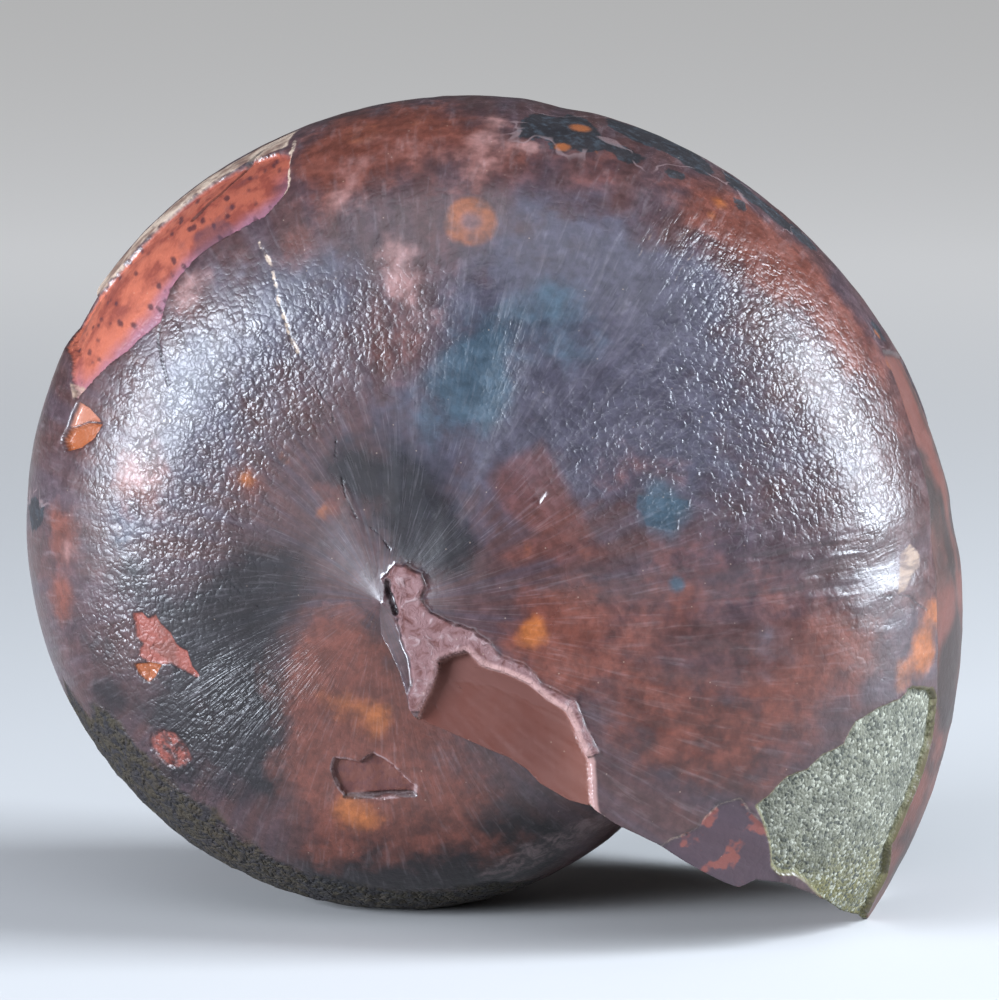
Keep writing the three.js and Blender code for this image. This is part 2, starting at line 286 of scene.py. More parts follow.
# Layers lost or left standing: how far the floor drops (mm) and how wide its wall is
ledges = {
    "recess": {"drop": 0.62, "wall": 0.16, "outline": Outline(pixels=[
        (592, 806), (589, 763), (582, 749), (574, 727), (567, 713), (549, 701), (526, 683),
        (506, 673), (480, 665), (467, 652), (453, 655), (439, 661), (436, 674), (428, 692),
        (420, 711), (412, 730), (440, 760), (500, 790), (560, 825), (600, 840)],
        whorl="last", jitter=0.07)},
    "crust": {"drop": -0.26, "wall": 0.4, "outline": Outline(pixels=[
        (383, 579), (396, 567), (406, 567), (422, 574), (426, 586), (421, 599), (430, 613),
        (455, 624), (474, 631), (490, 645), (503, 657), (523, 664), (542, 686), (573, 701),
        (587, 727), (596, 752), (585, 757), (575, 735), (560, 715), (500, 690), (450, 680),
        (425, 712), (408, 712), (410, 690), (411, 664), (402, 640), (397, 614), (392, 596)],
        whorl="last", jitter=0.14)},
    "stone": {"drop": 0.5, "wall": 0.16, "outline": Outline(pixels=[
        (757, 806), (772, 794), (789, 778), (809, 770), (823, 756), (845, 746), (857, 723),
        (878, 709), (900, 701), (912, 689), (932, 689), (936, 699), (932, 739), (922, 774),
        (908, 808), (892, 847), (888, 875), (868, 912), (872, 935), (840, 925), (833, 909),
        (809, 884), (795, 874), (780, 874), (773, 867), (772, 843), (766, 828)],
        whorl="last", jitter=0.08)},
    "dots": {"drop": 0.36, "wall": 0.2, "outline": Outline(places=[
        (144.4, 0.807), (145, 0.716), (146, 0.7), (149, 0.674), (156, 0.678), (162, 0.681),
        (167, 0.665), (171.2, 0.631), (177.8, 0.646), (184, 0.68), (190.2, 0.712),
        (189, 0.74), (186.5, 0.8), (187, 0.93), (185, 1.02), (179.5, 1.02), (178.4, 0.93),
        (178.2, 0.87), (176.6, 0.856), (170.3, 0.856), (165, 0.864), (160, 0.868),
        (155.6, 0.872), (150.3, 0.87), (146.5, 0.85)], jitter=0.08)},
    "notch": {"drop": 0.62, "wall": 0.3, "outline": Outline(places=[
        (178.3, 1.0), (178.3, 0.85), (180, 0.81), (185.4, 0.785), (186, 0.83), (186, 0.93),
        (184, 1.0)], jitter=0.05, seed=2)},
    "band": {"drop": 0.2, "wall": 0.35, "outline": Outline(places=[
        (64, 0.9), (56, 0.87), (47, 0.845), (40.7, 0.827), (34.2, 0.819), (26.6, 0.832),
        (21.3, 0.849), (17.5, 0.844), (13.7, 0.833), (9.3, 0.829), (6, 0.872), (2, 0.888),
        (-5, 0.89), (-5, 1.12), (10, 1.13), (30, 1.13), (50, 1.12), (62, 1.04)],
        jitter=0.05, seed=12)},
    "scar": {"drop": 0.42, "wall": 0.22, "outline": Outline(pixels=[
        (331, 770), (335, 759), (360, 764), (373, 755), (389, 764), (403, 775), (416, 786),
        (414, 795), (380, 797), (346, 795), (337, 784)], whorl="old", jitter=0.12)},
    "chipUpper": {"drop": 0.45, "wall": 0.25, "outline": Outline(pixels=[
        (78, 402), (88, 408), (101, 422), (86, 421), (68, 427), (72, 414)], jitter=0.03)},
    "chipLower": {"drop": 0.62, "wall": 0.2, "outline": Outline(pixels=[
        (68, 428), (86, 422), (101, 424), (93, 437), (80, 447), (66, 450), (62, 440)],
        jitter=0.03)},
    "redFlake": {"drop": 0.16, "wall": 0.18, "outline": Outline(pixels=[
        (134, 614), (142, 612), (148, 618), (156, 613), (160, 624), (170, 634), (176, 645),
        (186, 652), (191, 666), (198, 676), (183, 669), (172, 663), (160, 664), (148, 662),
        (139, 655), (142, 644), (136, 634)], jitter=0.08, seed=3)},
    "goldFlake": {"drop": 0.22, "wall": 0.16, "outline": Outline(pixels=[
        (134, 664), (150, 662), (161, 665), (156, 676), (149, 682), (140, 675)], jitter=0.04)},
    "redSpot": {"drop": 0.12, "wall": 0.25, "outline": Outline(pixels=[
        (152, 736), (163, 730), (175, 734), (186, 745), (191, 758), (184, 768), (170, 767),
        (158, 758), (150, 748)], jitter=0.1, seed=4)},
    "purplePiece": {"drop": 0.14, "wall": 0.2, "outline": Outline(pixels=[
        (662, 846), (680, 836), (698, 828), (706, 816), (713, 810), (722, 803), (740, 799),
        (750, 811), (767, 829), (773, 845), (774, 868), (781, 880), (781, 905), (740, 915),
        (680, 890), (640, 862)], whorl="last", jitter=0.06, seed=6)},
    "tealPatch": {"drop": 0.07, "wall": 0.2, "outline": Outline(pixels=[
        (637, 494), (662, 497), (690, 500), (689, 508), (674, 514), (678, 531), (660, 529),
        (646, 526), (641, 513), (636, 508)], jitter=0.05, seed=7)},
    "farStone": {"drop": 0.5, "wall": 0.18, "outline": Outline(places=[
        (-10, 1.36), (4, 1.33), (11, 1.36), (19, 1.34), (24, 1.41), (15, 1.47), (17, 1.54),
        (6, 1.6), (-4, 1.58), (-16, 1.64), (-14, 1.46)], jitter=0.15, seed=8)},
    "farFlake": {"drop": 0.2, "wall": 0.2, "outline": Outline(places=[
        (196, 1.26), (205, 1.22), (216, 1.21), (222, 1.26), (231, 1.29), (224, 1.37),
        (212, 1.35), (201, 1.39)], jitter=0.2, seed=9)},
    "farSpot": {"drop": 0.2, "wall": 0.2, "outline": Outline(places=[
        (262, 1.5), (272, 1.46), (281, 1.49), (276, 1.56), (266, 1.58)], jitter=0.2, seed=10)},
}

mouthGroove = {"wander": 0.0, "taper": 5.0}  # straight, thinning out over 5 mm at each end

# Cracks, scratches and grooves: depth in mm (negative stands up) and half width in mm
lines = {
    "whiteCrack": {"depth": 0.06, "half": 0.11, "stroke": Stroke(pixels=[
        (259, 243), (266, 256), (271, 267), (276, 285), (279, 302), (284, 315), (289, 327),
        (292, 340), (298, 352)], wander=0.12)},
    "longCrack": {"depth": 0.05, "half": 0.07, "stroke": Stroke(pixels=[
        (298, 352), (306, 362), (312, 372), (316, 388), (325, 398), (332, 407), (335, 430),
        (335, 458), (341, 478), (346, 496), (357, 514), (371, 528), (392, 549)], wander=0.15)},
    "shortCrack": {"depth": 0.08, "half": 0.1, "stroke": Stroke(pixels=[
        (159, 327), (157, 338), (158, 347), (164, 366), (169, 386)])},
    "curvedScratch": {"depth": 0.06, "half": 0.07, "stroke": Stroke(pixels=[
        (226, 578), (240, 592), (258, 606), (277, 620)])},
    "patchFold": {"depth": 0.14, "half": 0.2, "stroke": Stroke(pixels=[
        (262, 150), (243, 165), (225, 182), (206, 199), (190, 216)])},
    "grooveLong": {"depth": 0.16, "half": 0.42, "stroke": Stroke(pixels=[
        (700, 557), (735, 558), (772, 557), (815, 548), (850, 543), (880, 540)], **mouthGroove)},
    "grooveUpper": {"depth": 0.12, "half": 0.34, "stroke": Stroke(pixels=[
        (790, 547), (830, 539), (862, 531), (895, 523)], **mouthGroove)},
    "grooveMiddle": {"depth": 0.13, "half": 0.36, "stroke": Stroke(pixels=[
        (760, 581), (799, 578), (841, 571), (880, 564)], **mouthGroove)},
    "grooveLower": {"depth": 0.1, "half": 0.4, "stroke": Stroke(pixels=[
        (650, 605), (690, 603), (720, 600), (772, 595), (841, 586), (890, 578)], **mouthGroove)},
    "ridgeUpper": {"depth": -0.12, "half": 0.45, "stroke": Stroke(pixels=[
        (770, 569), (815, 560), (850, 554), (888, 549)], **mouthGroove)},
    "ridgeLower": {"depth": -0.1, "half": 0.4, "stroke": Stroke(pixels=[
        (780, 604), (841, 596), (888, 590)], **mouthGroove)},
    "darkCrack": {"depth": 0.08, "half": 0.08, "stroke": Stroke(pixels=[
        (886, 597), (898, 594), (909, 595), (918, 603), (928, 610)])},
    "hubSlit": {"depth": 0.45, "half": 0.28, "stroke": Stroke(pixels=[
        (388, 582), (389, 592), (393, 602), (396, 612)], wander=0.03)},
    "patchEnd": {"depth": -0.04, "half": 0.13, "stroke": Stroke(pixels=[
        (295, 141), (292, 150), (289, 160), (288, 174), (287, 187), (281, 197)], wander=0.06)},
    # three raised growth lines; the pale colour laid along them is a painted glint
    "glintRidgeUpper": {"depth": -0.02, "half": 0.03, "stroke": Stroke(pixels=[
        (674, 201), (668, 214), (655, 232), (646, 246), (639, 260)], wander=0.15)},
    "glintRidgeMiddle": {"depth": -0.02, "half": 0.03, "stroke": Stroke(pixels=[
        (694, 228), (682, 236), (672, 243), (660, 252)], wander=0.15)},
    "glintRidgeLower": {"depth": -0.02, "half": 0.02, "stroke": Stroke(pixels=[
        (692, 253), (680, 268), (674, 288), (668, 300), (660, 313)], wander=0.15)},
    "palePieceCrack": {"depth": 0.12, "half": 0.06, "stroke": Stroke(pixels=[
        (659, 849), (672, 840), (696, 829), (705, 818), (712, 811), (721, 804), (740, 799),
        (749, 811), (760, 820)], whorl="last")},
    "scarFoot": {"depth": 0.16, "half": 0.16, "stroke": Stroke(pixels=[
        (345, 796), (370, 796), (395, 794), (416, 795)], whorl="old")},
}

# Colours and finishes of the shell, sRGB from 0 to 255
finish = {
    # the blue-grey is partly the shell's own slate tone and partly painted bluish sheen; the
    # near-black is the colour of dark cracks and crust and also painted shade
    "body": (78, 53, 52), "coolAndSheen": (68, 66, 79), "teal": (54, 74, 87), "warm": (106, 58, 47),
    "orange": (158, 90, 46), "pink": (150, 112, 108), "darkAndShade": (19, 18, 23),
    "patch": (178, 98, 76), "patchDeep": (130, 62, 50), "patchDots": (62, 34, 42),
    "patchBorder": (132, 102, 126), "creamDeep": (132, 104, 90), "beige": (164, 138, 118),
    "slate": (58, 68, 76), "ember": (150, 84, 42),
    "black": (30, 30, 34), "rust": (144, 74, 62), "gold": (150, 80, 42), "chip": (172, 112, 90),
    "pale": (196, 174, 154), "crust": (124, 88, 88), "crustDeep": (96, 52, 48),
    "crustPale": (162, 138, 138), "floor": (96, 50, 40), "floorPale": (152, 98, 84),
    # the band colour is the venter band's own darker brown, deepened by painted shade
    "fracture": (182, 142, 136), "plum": (72, 54, 64), "band": (42, 27, 21),
    "stone": (122, 122, 107), "stoneTip": (112, 106, 62), "grainDark": (76, 78, 70),
    "grainPale": (176, 176, 160), "grit": (50, 42, 20), "mouth": (84, 66, 52),
    "depth": 0.74,  # the colours are read off a dim photograph, and the lamps are brighter
    "roughness": 0.36, "coat": 0.22, "coatRoughness": 0.22, "ior": 1.5,
}

# Markings that are colour only, as outlines in pixels of the photograph
markings = {
    "black": [
        [(518, 134), (521, 123), (528, 114), (534, 111), (545, 112), (556, 116), (570, 113),
         (580, 116), (590, 121), (598, 130), (604, 140), (615, 144), (630, 148), (643, 156),
         (650, 158), (640, 163), (628, 164), (618, 158), (606, 150), (596, 152), (584, 152),
         (572, 148), (562, 152), (552, 146), (549, 137), (540, 136), (528, 138), (520, 137)],
        [(604, 118), (618, 121), (632, 126), (648, 130), (662, 137), (676, 143), (690, 150),
         (704, 159), (713, 170), (712, 178), (700, 174), (686, 166), (676, 158), (664, 152),
         (648, 146), (636, 142), (622, 134), (610, 126)],
        [(662, 169), (672, 168), (682, 173), (688, 180), (680, 181), (668, 176)],
        [(722, 170), (740, 182), (756, 196), (772, 208), (786, 220), (800, 236), (790, 232),
         (776, 222), (760, 208), (742, 196), (726, 182)],
        [(734, 198), (744, 202), (748, 210), (742, 213), (735, 206)],
        [(790, 222), (806, 236), (819, 250), (812, 250), (800, 240), (791, 230)],
        [(870, 318), (878, 328), (886, 342), (880, 342), (872, 330)],
        [(160, 745), (170, 744), (174, 751), (166, 755), (159, 750)],
        [(28, 502), (36, 498), (44, 506), (42, 524), (32, 532)],
    ],
    "pale": [
        [(904, 552), (912, 545), (921, 553), (922, 566), (913, 576), (905, 590), (898, 594),
         (900, 580), (902, 566)],
        [(70, 383), (80, 386), (82, 394), (73, 399)],
    ],
    "brown": [
        [(541, 439), (528, 452), (510, 462), (489, 478), (500, 500), (520, 520), (545, 540),
         (575, 552), (605, 560), (590, 530), (570, 496), (556, 466)],
        [(496, 555), (520, 545), (545, 535), (570, 522), (586, 528), (604, 552), (590, 560),
         (550, 562), (515, 564)],
    ],
}

ringSpot = {"centre": (471, 222), "radii": (26, 23), "corners": 16}  # in pixels
spin = np.arange(ringSpot["corners"]) * 2 * math.pi / ringSpot["corners"]

# Larger markings that are colour only: (turn, girth) or pixels
areas = {
    "grit": {"jitter": 0.3, "seed": 71, "places": [
        (236, 0.8), (241, 0.745), (240, 0.66), (253, 0.648), (265, 0.632), (279, 0.668),
        (293, 0.698), (308, 0.722), (322, 0.76), (330, 0.86), (322, 0.98), (295, 1.1),
        (268, 1.12), (244, 1.0)]},
    "streak": {"jitter": 0.15, "seed": 72, "whorl": "old", "pixels": [
        (478, 876), (498, 862), (520, 848), (540, 838), (560, 828), (585, 818), (606, 812),
        (612, 822), (590, 836), (562, 852), (530, 868), (500, 880)]},
    "farBlack": {"jitter": 0.4, "seed": 73, "places": [
        (60, 1.1), (78, 1.06), (96, 1.08), (112, 1.07), (120, 1.12), (104, 1.16), (90, 1.14),
        (70, 1.17)]},
    "cream": {"jitter": 0.1, "seed": 74, "places": [
        (144.1, 0.95), (145.2, 0.852), (150.3, 0.872), (155.6, 0.874), (160, 0.87),
        (165, 0.866), (170.3, 0.858), (176.6, 0.858), (178.2, 0.872), (178.2, 0.95),
        (170, 0.93), (160.3, 0.93), (152, 0.94)]},
    "ring": {"jitter": 0.12, "seed": 75, "pixels": np.stack([
        ringSpot["centre"][0] + ringSpot["radii"][0] * np.cos(spin),
        ringSpot["centre"][1] + ringSpot["radii"][1] * np.sin(spin)], 1)},
}

# Soft areas of tint: ((pixel), radius in pixels, amount)
tints = {
    # the cool tint is partly the shell's own slate tone and partly painted bluish sheen where the
    # lamps' reflections fall on the flanks
    "coolAndSheen": [((600, 370), 120, 0.75), ((520, 330), 100, 0.7), ((700, 430), 100, 0.6),
             ((430, 460), 80, 0.7), ((250, 330), 70, 0.7), ((200, 400), 60, 0.6),
             ((180, 520), 60, 0.5), ((740, 560), 50, 0.25), ((650, 280), 60, 0.7),
             ((560, 200), 60, 0.3), ((60, 560), 40, 0.4), ((330, 280), 60, 0.5),
             ((840, 480), 40, 0.3), ((860, 350), 36, 0.5), ((120, 520), 30, 0.5),
             ((200, 700), 60, 0.3)],
    "teal": [((459, 359), 34, 0.9), ((475, 400), 30, 0.8), ((560, 330), 40, 0.5),
             ((500, 330), 24, 0.6), ((662, 512), 30, 0.9), ((765, 640), 40, 0.5),
             ((676, 582), 7, 0.9), ((435, 425), 34, 0.5), ((355, 430), 26, 0.3),
             ((720, 200), 20, 0.2), ((545, 290), 30, 0.4), ((115, 540), 18, 0.4)],
    "warm": [((700, 610), 90, 0.3), ((820, 620), 80, 0.35), ((640, 470), 90, 0.25),
             ((420, 125), 80, 0.85), ((330, 150), 60, 0.9), ((500, 160), 50, 0.35),
             ((290, 240), 30, 0.5), ((600, 170), 40, 0.5), ((720, 210), 50, 0.8),
             ((790, 270), 55, 1.0), ((850, 340), 50, 1.0), ((905, 430), 40, 0.45),
             ((945, 520), 30, 0.9), ((940, 600), 40, 0.6), ((620, 690), 70, 0.45),
             ((560, 640), 45, 0.9), ((700, 770), 60, 0.45), ((790, 705), 60, 0.5),
             ((860, 640), 40, 0.5), ((640, 780), 60, 0.8), ((340, 690), 60, 1.0),
             ((400, 760), 60, 1.0), ((320, 770), 50, 0.9), ((420, 840), 50, 0.4),
             ((340, 850), 40, 0.5), ((330, 510), 26, 0.6), ((395, 350), 50, 0.6),
             ((250, 480), 24, 0.7), ((140, 480), 34, 0.8), ((60, 530), 30, 0.9),
             ((80, 450), 20, 0.6), ((350, 640), 40, 0.6), ((230, 840), 40, 0.4),
             ((480, 840), 50, 0.5), ((60, 600), 26, 0.8), ((450, 250), 50, 0.4)],
    "orange": [((376, 722), 22, 0.6), ((335, 700), 24, 0.4), ((535, 634), 15, 0.95),
               ((361, 810), 24, 0.7), ((247, 478), 9, 0.9), ((285, 460), 8, 0.5),
               ((322, 512), 11, 0.6), ((922, 650), 26, 0.9), ((898, 684), 20, 0.7),
               ((936, 610), 18, 0.7), ((350, 135), 40, 0.35), ((440, 120), 50, 0.3),
               ((580, 127), 10, 0.7), ((562, 146), 7, 0.9),
               ((720, 204), 10, 0.7), ((712, 216), 7, 0.5), ((597, 153), 4, 0.6),
               ((735, 852), 12, 0.5), ((585, 548), 14, 0.6), ((530, 550), 12, 0.5),
               ((876, 335), 8, 0.6), ((890, 365), 10, 0.5), ((470, 222), 6, 0.2),
               ((160, 748), 16, 0.2)],
    "pink": [((395, 254), 26, 0.9), ((408, 290), 20, 0.7), ((430, 320), 24, 0.4),
             ((445, 150), 40, 0.25), ((370, 150), 40, 0.4), ((185, 290), 26, 0.6),
             ((175, 320), 20, 0.4), ((130, 460), 26, 0.35), ((155, 480), 22, 0.3),
             ((475, 165), 40, 0.35),
             ((350, 200), 30, 0.4), ((495, 135), 24, 0.5), ((300, 140), 16, 0.4),
             ((65, 545), 16, 0.6), ((530, 144), 9, 1.0), ((925, 640), 24, 0.1),
             ((500, 118), 16, 0.5)],
    # the dark tint is partly the shell's own dark tone and partly painted shade: around and above
    # the hub, low along the bottom and under the mouth's edge, and where the skin turns from the
    # lamps
    "darkAndShade": [((420, 490), 50, 0.8), ((240, 600), 60, 0.8), ((215, 650), 60, 0.8),
             ((915, 440), 26, 0.5), ((435, 535), 40, 0.3), ((365, 475), 60, 0.4),
             ((230, 730), 66, 0.6),
             ((420, 850), 70, 0.9), ((490, 850), 60, 0.6), ((340, 870), 50, 0.6),
             ((680, 750), 70, 0.5), ((640, 690), 50, 0.3),
             ((180, 700), 40, 0.7), ((95, 640), 28, 0.5), ((430, 540), 26, 0.8),
             ((305, 560), 40, 0.6), ((240, 760), 40, 0.8), ((275, 700), 30, 0.7),
             ((150, 600), 40, 0.4), ((60, 420), 16, 0.4), ((355, 470), 26, 0.5),
             ((470, 560), 20, 0.5), ((130, 560), 30, 0.6), ((680, 600), 40, 0.3),
             ((780, 560), 40, 0.2), ((520, 240), 40, 0.2),
             ((420, 870), 60, 0.7), ((520, 860), 50, 0.8), ((110, 700), 40, 0.7),
             ((175, 770), 26, 0.7), ((720, 740), 50, 0.35), ((760, 690), 40, 0.3)],
    # how leathery, and how strongly lined, the polished surface is
    "pebbled": [((190, 420), 90, 1.0), ((300, 380), 70, 0.6), ((800, 400), 110, 1.0),
                ((740, 290), 60, 0.8), ((700, 480), 80, 0.7), ((230, 720), 60, 0.6),
                ((120, 640), 50, 0.9), ((170, 770), 50, 0.8), ((600, 420), 70, 0.4),
                ((880, 470), 40, 0.5), ((400, 300), 80, 0.4), ((200, 520), 80, 0.8)],
    # where the polish is smooth and mirror-like
    "smooth": [((440, 545), 70, 1.0), ((480, 580), 60, 1.0), ((400, 490), 80, 0.8),
               ((360, 480), 90, 0.7), ((520, 600), 50, 0.7), ((300, 570), 90, 0.6),
               ((460, 500), 70, 0.6), ((540, 540), 70, 0.4)],
    "combed": [((230, 700), 60, 1.0), ((300, 655), 40, 0.9), ((200, 770), 40, 0.8),
               ((700, 240), 50, 0.9), ((760, 300), 50, 0.8), ((560, 290), 90, 0.25),
               ((470, 340), 60, 0.2), ((850, 540), 60, 0.6), ((480, 590), 40, 0.5),
               ((640, 330), 60, 0.5)],
}

# On the far side each tint lies in lumps, where a noise passes this limit
farLimits = {"coolAndSheen": -0.25, "warm": -0.1, "teal": 0.45, "orange": 0.6, "pink": 0.4,
             "darkAndShade": 0.1, "pebbled": -0.2, "smooth": 0.4, "combed": 0.1}

# The broken mouth of the shell, filled with sandy stone: lengths in mm, span in degrees,
# lumps as (share of the bump, size in mm, noise seed)
mouth = {"span": 40.0, "lip": 0.55, "hollow": 1.3, "bump": 0.55, "inset": 0.25,
         "lipRise": 0.3, "hollowRoom": 6, "lipRoom": 3, "ahead": 3,
         "lumps": [(1.0, 3.0, 51), (0.5, 1.2, 52), (0.25, 0.6, 53)]}

# Growth of the whorl: how far its lines lean in degrees, the shallow constrictions as
# (turn, depth in mm), and the fine lines as (height in mm, spacing, noise seed)
growth = {"lean": 16.0, "constrictions": [(43, 0.22), (112, 0.16)], "halfReach": 2.6,
          "hubFade": 0.4, "perGirth": 24, "freshFor": 120,
          "lines": [(0.04, 2.6, 21), (0.025, 1.2, 22)]}

# Unevenness of the skin and of each laid bare surface: over how many mm it sets in from
# its outline, and its lumps as (height in mm, size in mm, noise seed)
skinLumps = [(0.05, 6, 31), (0.03, 2.4, 32), (0.014, 1.0, 33)]
rough = {
    "crust": {"fade": 0.4, "lumps": [(0.13, 0.9, 41), (0.07, 0.45, 42)]},
    "stone": {"fade": 0.2, "lumps": [(0.07, 0.7, 43), (0.05, 0.35, 44)]},
    "recess": {"fade": 0.16, "lumps": [(0.05, 2.2, 45)]},
    "scar": {"fade": 0.2, "lumps": [(0.1, 0.9, 46)]},
    "grit": {"fade": 0.8, "lumps": [(0.09, 0.8, 47), (0.05, 0.4, 48)]},
    "dots": {"fade": 0.3, "lumps": [(0.04, 0.8, 49)]},
}

# A small pit, in pixels of the photograph, and its depth in mm
pit = {"centre": (538, 497), "radius": 15, "depth": 0.25, "flat": 0.15, "wall": 0.2}

# How finely the skin is divided, in mm
detail = {"near": 0.6, "far": 1.1, "mouth": 0.75, "edge": 0.2, "spread": 1.0, "rounds": 16,
          "around": 108, "over": 38, "mouthSteps": 8, "nearGirth": 1.1, "margin": 0.2}


def netCoordinates():
    # the coarse net: rows go back along the coil and home across the mouth
    rows = detail["around"] + detail["mouthSteps"]
    columns = detail["over"] - 1
    growth = shell["turnGrowth"]
    places = [(0.0, 0.0), (0.0, 2.0)]  # the two hubs
    for i in range(rows):
        if i <= detail["around"]:
            share = i / detail["around"]
            back = -360 / growth * math.log(1 - share * (1 - math.exp(-growth)))
        else:
            back = 360 + mouth["span"] * (i - detail["around"]) / detail["mouthSteps"]
        places += [(back, 2 * j / detail["over"]) for j in range(1, columns + 1)]
    triangles = []
    for i in range(rows):
        here, after = 2 + i * columns, 2 + (i + 1) % rows * columns
        triangles.append((0, here, after))
        triangles.append((here + columns - 1, 1, after + columns - 1))
        for j in range(columns - 1):
            triangles.append((here + j, here + j + 1, after + j))
            triangles.append((here + j + 1, after + j + 1, after + j))
    return np.array(places), np.array(triangles)


def netMiddle(a, b):
    # the place halfway between two net places, minding the hubs and the mouth's outer rim
    back = np.stack([a[:, 0], b[:, 0]])
    girth = np.stack([a[:, 1], b[:, 1]])
    atHub = (girth <= 0) | (girth >= 2)
    crossing = (back > 360).any(0)
    back = np.where((back <= 0) & crossing & ~atHub, 360 + mouth["span"], back)
    back = np.where(atHub, back[::-1], back)
    return np.stack([back.mean(0), girth.mean(0)], 1)


def barePoint(places):
    # the net's place in space before any layer is lost
    back, girth = places[:, 0], places[:, 1]
    edge = edgeTurn(girth)
    point = skinPoint(edge + np.minimum(back, 360), girth)
    across = back > 360
    share = ((back[across] - 360) / mouth["span"])[:, None]
    inner = skinPoint(edge[across] + 360, girth[across])
    outer = skinPoint(edge[across], girth[across])
    point[across] = inner + (outer - inner) * share
    return point


def featureTree():
    everyLine = [dense(l["outline"].line, 0.4, True) for l in ledges.values()]
    everyLine += [dense(l["stroke"].line, 0.4, False) for l in lines.values()]
    rim = np.array(edgeLine)
    everyLine.append(dense(skinPoint(rim[:, 1], rim[:, 0]), 0.4, False))
    spots = np.concatenate(everyLine)
    tree = kdtree.KDTree(len(spots))
    for i, spot in enumerate(spots):
        tree.insert(spot, i)
    tree.balance()
    return tree


def refine(places, triangles):
    # halves every edge that is longer than the surface's detail there asks for
    tree = featureTree()
    for _ in range(detail["rounds"]):
        corner = barePoint(places)
        edges = triangles[:, [[0, 1], [1, 2], [2, 0]]].reshape(-1, 2)
        edges.sort(axis=1)
        key, at, edgeOf = np.unique(edges[:, 0] * 10_000_000 + edges[:, 1],
                                    return_index=True, return_inverse=True)
        pairs = edges[at]
        edgeOf = edgeOf.reshape(-1, 3)
        length = np.linalg.norm(corner[pairs[:, 0]] - corner[pairs[:, 1]], axis=1)
        middle = netMiddle(places[pairs[:, 0]], places[pairs[:, 1]])
        spot = (corner[pairs[:, 0]] + corner[pairs[:, 1]]) / 2
        want = np.where(middle[:, 1] < detail["nearGirth"], detail["near"], detail["far"])
        want = np.where(middle[:, 0] > 360, detail["mouth"], want)
        for i in np.where(length > detail["edge"])[0]:
            gap = tree.find(spot[i])[2]
            fine = detail["edge"] + detail["spread"] * max(0.0, gap - detail["margin"])
            want[i] = min(want[i], fine)
        split = length > want
        longest = length[edgeOf].argmax(1)
        rows = np.arange(len(triangles))
        while True:  # a triangle that is cut at all is cut through its longest edge
            cut = split[edgeOf].any(1)
            missing = cut & ~split[edgeOf[rows, longest]]
            if not missing.any():
                break
            split[edgeOf[missing, longest[missing]]] = True
        if not split.any():
            break
        newIndex = np.full(len(pairs), -1)
        newIndex[split] = len(places) + np.arange(split.sum())
        places = np.concatenate([places, middle[split]])
        turned = np.take_along_axis(triangles, (longest[:, None] + np.arange(3)) % 3, 1)
        sides = np.take_along_axis(edgeOf, (longest[:, None] + np.arange(3)) % 3, 1)
        v0, v1, v2 = turned.T
        m0, m1, m2 = newIndex[sides].T
        whole = m0 < 0
        done = [turned[whole]]
        left = ~whole & (m2 < 0)
        done.append(np.stack([v0, m0, v2], 1)[left])
        left = ~whole & (m2 >= 0)
        done += [np.stack([v0, m0, m2], 1)[left], np.stack([m2, m0, v2], 1)[left]]
        right = ~whole & (m1 < 0)
        done.append(np.stack([m0, v1, v2], 1)[right])
        right = ~whole & (m1 >= 0)
        done += [np.stack([m0, v1, m1], 1)[right], np.stack([m0, m1, v2], 1)[right]]
        triangles = np.concatenate(done)
    return places, triangles


def lookAt(turn, girth, back):
    # what the features need to know of each place
    point = skinPoint(turn, girth)
    facing = skinNormal(turn, girth) @ viewAxes()[0]
    return {"turn": turn, "girth": girth, "back": back, "point": point,
            "pixel": photoPixel(point), "seen": (facing > -0.05) & (girth < 1.15)}


def readMarks(at):
    # signed distances in mm into every outline and line
    marks = {name: l["outline"].into(at) for name, l in ledges.items()}
    for name, line in lines.items():
        marks[name] = line["half"] - line["stroke"].away(at)
    return marks


def leaning(turn, girth):
    return turn + growth["lean"] * np.abs(girth - 1) ** 2


def lumps(points, layers):
    return sum(height * noise(points, size, seed) for height, size, seed in layers)


def growthRelief(at):
    turn = leaning(at["turn"], at["girth"])
    hubFade = smooth(np.minimum(at["girth"], 2 - at["girth"]) / growth["hubFade"])
    perDegree = np.linalg.norm(at["point"][:, [0, 2]] - np.array(shell["coilCentre"])[[0, 2]],
                               axis=1) * math.pi / 180
    depth = 0
    for where, deep in growth["constrictions"]:
        away = np.abs(turn - where) * perDegree
        depth = depth - deep * hubFade * (1 - smooth(away / growth["halfReach"]))
    fine = np.stack([turn, at["girth"] * growth["perGirth"], at["girth"] * 0], 1)
    fresh = 0.4 + 0.6 * smooth(1 - at["back"] / growth["freshFor"])
    return depth + hubFade * fresh * lumps(fine, growth["lines"])


def relief(at, marks):
    # height in mm above the smooth form
    height = growthRelief(at) + lumps(at["point"], skinLumps)
    lost = 0
    for name, ledge in ledges.items():
        if ledge["drop"] > 0:
            lost = np.maximum(lost, ledge["drop"] * smooth(marks[name] / ledge["wall"] + 0.5))
    cover = {name: smooth(marks[name] / rough[name]["fade"]) for name in ("scar", "grit", "dots")}
    cover["stone"] = smooth(np.maximum(marks["stone"], marks["farStone"]) / rough["stone"]["fade"])
    cover["recess"] = smooth(marks["recess"] / rough["recess"]["fade"] + 0.5)
    cover["crust"] = smooth(marks["crust"] / rough["crust"]["fade"] + 0.5) * (1 - cover["recess"])
    height = height - lost - ledges["crust"]["drop"] * cover["crust"]
    for name, surface in rough.items():
        height = height + cover[name] * lumps(at["point"], surface["lumps"])
    for name, line in lines.items():
        height = height - line["depth"] * smooth(marks[name] / line["half"])
    fromPit = np.hypot(*(at["pixel"] - pit["centre"]).T) / pit["radius"]
    return height - pit["depth"] * (1 - smooth((fromPit - pit["flat"]) / pit["wall"])) * at["seen"]


